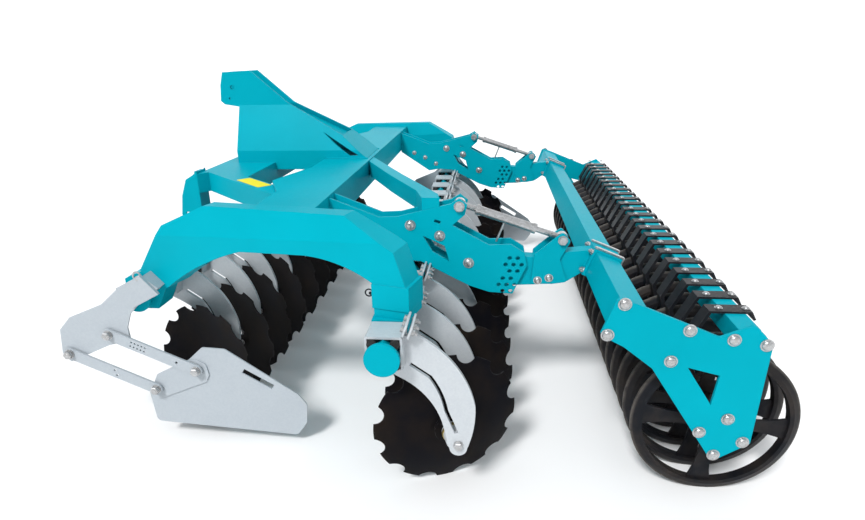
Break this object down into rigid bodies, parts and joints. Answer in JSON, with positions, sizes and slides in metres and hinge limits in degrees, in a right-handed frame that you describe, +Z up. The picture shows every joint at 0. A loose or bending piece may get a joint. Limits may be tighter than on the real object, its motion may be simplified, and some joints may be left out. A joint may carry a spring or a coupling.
{
  "type": "mounted compact disc harrow",
  "caption": "Mounted disc harrow with opposed rows of notched discs on sprung arms, arched side beams, a headstock, side deflectors and a ring roller.",
  "frame": {"origin": "on the ground, under the middle of the machine's bounding box", "axes": "+X is the direction of travel, +Y is the machine's left, +Z is up"},
  "size_m": [2.9158, 3.3998, 1.505],
  "materials": {
    "teal_paint": "satin",
    "silver_coat": "satin",
    "black_paint": "satin",
    "rubber": "matt",
    "zinc": "satin"
  },
  "bodies": {
    "frame": {"deflector_brackets": "silver_coat", "front_arm_clamps": "silver_coat", "front_diagonals": "teal_paint", "front_disc_arms": "silver_coat", "front_gang_beam": "teal_paint", "gang_seats": "silver_coat", "headstock": "teal_paint", "headstock_strut": "teal_paint", "lower_hitch_brackets": "teal_paint", "main_cross_beam": "teal_paint", "rear_arm_clamps": "silver_coat", "rear_disc_arms": "silver_coat", "rear_gang_beam": "teal_paint", "rubber_cords": "rubber", "side_arch_left": "teal_paint", "side_arch_right": "teal_paint", "support_boxes": "teal_paint", "support_cheeks": "teal_paint"},
    "roller_frame": {"roller_beam": "teal_paint", "roller_side_plates": "teal_paint", "roller_bearings": "black_paint", "roller_link_arms": "teal_paint", "roller_arm_ears": "teal_paint", "scraper_beam": "teal_paint", "scrapers": "black_paint"},
    "roller": {"ring_roller": "black_paint"},
    "turnbuckle_barrel_left": {"turnbuckle_barrel_left": "zinc"},
    "turnbuckle_rod_left": {"turnbuckle_rod_left": "zinc"},
    "deflector_upper_link_left": {"deflector_upper_link_left": "silver_coat"},
    "deflector_lower_link_left": {"deflector_lower_link_left": "silver_coat"},
    "deflector_plate_left": {"deflector_plate_left": "silver_coat"},
    "turnbuckle_barrel_right": {"turnbuckle_barrel_right": "zinc"},
    "turnbuckle_rod_right": {"turnbuckle_rod_right": "zinc"},
    "deflector_upper_link_right": {"deflector_upper_link_right": "silver_coat"},
    "deflector_lower_link_right": {"deflector_lower_link_right": "silver_coat"},
    "deflector_plate_right": {"deflector_plate_right": "silver_coat"},
    "front_disc_01": {"front_disc_01": "black_paint"},
    "front_disc_02": {"front_disc_02": "black_paint"},
    "front_disc_03": {"front_disc_03": "black_paint"},
    "front_disc_04": {"front_disc_04": "black_paint"},
    "front_disc_05": {"front_disc_05": "black_paint"},
    "front_disc_06": {"front_disc_06": "black_paint"},
    "front_disc_07": {"front_disc_07": "black_paint"},
    "front_disc_08": {"front_disc_08": "black_paint"},
    "front_disc_09": {"front_disc_09": "black_paint"},
    "front_disc_10": {"front_disc_10": "black_paint"},
    "front_disc_11": {"front_disc_11": "black_paint"},
    "rear_disc_01": {"rear_disc_01": "black_paint"},
    "rear_disc_02": {"rear_disc_02": "black_paint"},
    "rear_disc_03": {"rear_disc_03": "black_paint"},
    "rear_disc_04": {"rear_disc_04": "black_paint"},
    "rear_disc_05": {"rear_disc_05": "black_paint"},
    "rear_disc_06": {"rear_disc_06": "black_paint"},
    "rear_disc_07": {"rear_disc_07": "black_paint"},
    "rear_disc_08": {"rear_disc_08": "black_paint"},
    "rear_disc_09": {"rear_disc_09": "black_paint"},
    "rear_disc_10": {"rear_disc_10": "black_paint"},
    "rear_disc_11": {"rear_disc_11": "black_paint"},
    "rear_disc_12": {"rear_disc_12": "black_paint"}
  },
  "joints": [
    {"name": "rear_disc_01_spin", "type": "hinge", "parent": "frame", "child": "rear_disc_01", "pos_m": [-0.184, 1.465, 0.27911], "axis": [-0.3732, 0.9237, -0.0872], "continuous": true},
    {"name": "rear_disc_02_spin", "type": "hinge", "parent": "frame", "child": "rear_disc_02", "pos_m": [-0.184, 1.215, 0.27911], "axis": [-0.3732, 0.9237, -0.0872], "continuous": true},
    {"name": "rear_disc_03_spin", "type": "hinge", "parent": "frame", "child": "rear_disc_03", "pos_m": [-0.184, 0.965, 0.27911], "axis": [-0.3732, 0.9237, -0.0872], "continuous": true},
    {"name": "rear_disc_04_spin", "type": "hinge", "parent": "frame", "child": "rear_disc_04", "pos_m": [-0.184, 0.715, 0.27911], "axis": [-0.3732, 0.9237, -0.0872], "continuous": true},
    {"name": "rear_disc_05_spin", "type": "hinge", "parent": "frame", "child": "rear_disc_05", "pos_m": [-0.184, 0.465, 0.27911], "axis": [-0.3732, 0.9237, -0.0872], "continuous": true},
    {"name": "rear_disc_06_spin", "type": "hinge", "parent": "frame", "child": "rear_disc_06", "pos_m": [-0.184, 0.215, 0.27911], "axis": [-0.3732, 0.9237, -0.0872], "continuous": true},
    {"name": "rear_disc_07_spin", "type": "hinge", "parent": "frame", "child": "rear_disc_07", "pos_m": [-0.184, -0.035, 0.27911], "axis": [-0.3732, 0.9237, -0.0872], "continuous": true},
    {"name": "rear_disc_08_spin", "type": "hinge", "parent": "frame", "child": "rear_disc_08", "pos_m": [-0.184, -0.285, 0.27911], "axis": [-0.3732, 0.9237, -0.0872], "continuous": true},
    {"name": "rear_disc_09_spin", "type": "hinge", "parent": "frame", "child": "rear_disc_09", "pos_m": [-0.184, -0.535, 0.27911], "axis": [-0.3732, 0.9237, -0.0872], "continuous": true},
    {"name": "rear_disc_10_spin", "type": "hinge", "parent": "frame", "child": "rear_disc_10", "pos_m": [-0.184, -0.785, 0.27911], "axis": [-0.3732, 0.9237, -0.0872], "continuous": true},
    {"name": "rear_disc_11_spin", "type": "hinge", "parent": "frame", "child": "rear_disc_11", "pos_m": [-0.184, -1.035, 0.27911], "axis": [-0.3732, 0.9237, -0.0872], "continuous": true},
    {"name": "rear_disc_12_spin", "type": "hinge", "parent": "frame", "child": "rear_disc_12", "pos_m": [-0.184, -1.285, 0.27911], "axis": [-0.3732, 0.9237, -0.0872], "continuous": true},
    {"name": "front_disc_01_spin", "type": "hinge", "parent": "frame", "child": "front_disc_01", "pos_m": [0.921, 1.14, 0.27911], "axis": [-0.3732, -0.9237, -0.0872], "continuous": true},
    {"name": "front_disc_02_spin", "type": "hinge", "parent": "frame", "child": "front_disc_02", "pos_m": [0.921, 0.89, 0.27911], "axis": [-0.3732, -0.9237, -0.0872], "continuous": true},
    {"name": "front_disc_03_spin", "type": "hinge", "parent": "frame", "child": "front_disc_03", "pos_m": [0.921, 0.64, 0.27911], "axis": [-0.3732, -0.9237, -0.0872], "continuous": true},
    {"name": "front_disc_04_spin", "type": "hinge", "parent": "frame", "child": "front_disc_04", "pos_m": [0.921, 0.39, 0.27911], "axis": [-0.3732, -0.9237, -0.0872], "continuous": true},
    {"name": "front_disc_05_spin", "type": "hinge", "parent": "frame", "child": "front_disc_05", "pos_m": [0.921, 0.14, 0.27911], "axis": [-0.3732, -0.9237, -0.0872], "continuous": true},
    {"name": "front_disc_06_spin", "type": "hinge", "parent": "frame", "child": "front_disc_06", "pos_m": [0.921, -0.11, 0.27911], "axis": [-0.3732, -0.9237, -0.0872], "continuous": true},
    {"name": "front_disc_07_spin", "type": "hinge", "parent": "frame", "child": "front_disc_07", "pos_m": [0.921, -0.36, 0.27911], "axis": [-0.3732, -0.9237, -0.0872], "continuous": true},
    {"name": "front_disc_08_spin", "type": "hinge", "parent": "frame", "child": "front_disc_08", "pos_m": [0.921, -0.61, 0.27911], "axis": [-0.3732, -0.9237, -0.0872], "continuous": true},
    {"name": "front_disc_09_spin", "type": "hinge", "parent": "frame", "child": "front_disc_09", "pos_m": [0.921, -0.86, 0.27911], "axis": [-0.3732, -0.9237, -0.0872], "continuous": true},
    {"name": "front_disc_10_spin", "type": "hinge", "parent": "frame", "child": "front_disc_10", "pos_m": [0.921, -1.11, 0.27911], "axis": [-0.3732, -0.9237, -0.0872], "continuous": true},
    {"name": "front_disc_11_spin", "type": "hinge", "parent": "frame", "child": "front_disc_11", "pos_m": [0.921, -1.36, 0.27911], "axis": [-0.3732, -0.9237, -0.0872], "continuous": true},
    {"name": "roller_spin", "type": "hinge", "parent": "roller_frame", "child": "roller", "pos_m": [-1.162, 0, 0.296], "axis": [0, 1, 0], "continuous": true},
    {"name": "roller_swing", "type": "hinge", "parent": "frame", "child": "roller_frame", "pos_m": [-0.252, 0, 0.75], "axis": [0, 1, 0], "range_deg": [-6, 8]},
    {"name": "turnbuckle_tilt_left", "type": "hinge", "parent": "frame", "child": "turnbuckle_barrel_left", "pos_m": [-0.214, 1, 0.994], "axis": [0, 1, 0], "range_deg": [-5.5, 7]},
    {"name": "turnbuckle_screw_left", "type": "slide", "parent": "turnbuckle_barrel_left", "child": "turnbuckle_rod_left", "axis": [-0.9482, 0, -0.3176], "range_m": [-0.034, 0.027]},
    {"name": "turnbuckle_tilt_right", "type": "hinge", "parent": "frame", "child": "turnbuckle_barrel_right", "pos_m": [-0.214, -1, 0.994], "axis": [0, 1, 0], "range_deg": [-5.5, 7]},
    {"name": "turnbuckle_screw_right", "type": "slide", "parent": "turnbuckle_barrel_right", "child": "turnbuckle_rod_right", "axis": [-0.9482, 0, -0.3176], "range_m": [-0.034, 0.027]},
    {"name": "deflector_lift_left", "type": "hinge", "parent": "frame", "child": "deflector_upper_link_left", "pos_m": [1.223, 1.316, 0.51], "axis": [0, 1, 0], "range_deg": [-4, 25]},
    {"name": "deflector_lower_swing_left", "type": "hinge", "parent": "frame", "child": "deflector_lower_link_left", "pos_m": [1.415, 1.316, 0.415], "axis": [0, 1, 0], "range_deg": [-4, 25]},
    {"name": "deflector_level_left", "type": "hinge", "parent": "deflector_upper_link_left", "child": "deflector_plate_left", "pos_m": [0.868, 1.316, 0.354], "axis": [0, 1, 0], "range_deg": [-25, 4]},
    {"name": "deflector_lift_right", "type": "hinge", "parent": "frame", "child": "deflector_upper_link_right", "pos_m": [0.118, -1.466, 0.51], "axis": [0, 1, 0], "range_deg": [-4, 25]},
    {"name": "deflector_lower_swing_right", "type": "hinge", "parent": "frame", "child": "deflector_lower_link_right", "pos_m": [0.31, -1.466, 0.415], "axis": [0, 1, 0], "range_deg": [-4, 25]},
    {"name": "deflector_level_right", "type": "hinge", "parent": "deflector_upper_link_right", "child": "deflector_plate_right", "pos_m": [-0.237, -1.466, 0.354], "axis": [0, 1, 0], "range_deg": [-25, 4]}
  ],
  "couplings": [
    {"joint": "turnbuckle_tilt_left", "follows": "roller_swing", "ratio": 0.7512},
    {"joint": "turnbuckle_screw_left", "follows": "roller_swing", "m_per_rad": -0.22126},
    {"joint": "turnbuckle_tilt_right", "follows": "roller_swing", "ratio": 0.7512},
    {"joint": "turnbuckle_screw_right", "follows": "roller_swing", "m_per_rad": -0.22126},
    {"joint": "deflector_lower_swing_left", "follows": "deflector_lift_left", "ratio": 1},
    {"joint": "deflector_level_left", "follows": "deflector_lift_left", "ratio": -1},
    {"joint": "deflector_lower_swing_right", "follows": "deflector_lift_right", "ratio": 1},
    {"joint": "deflector_level_right", "follows": "deflector_lift_right", "ratio": -1}
  ]
}
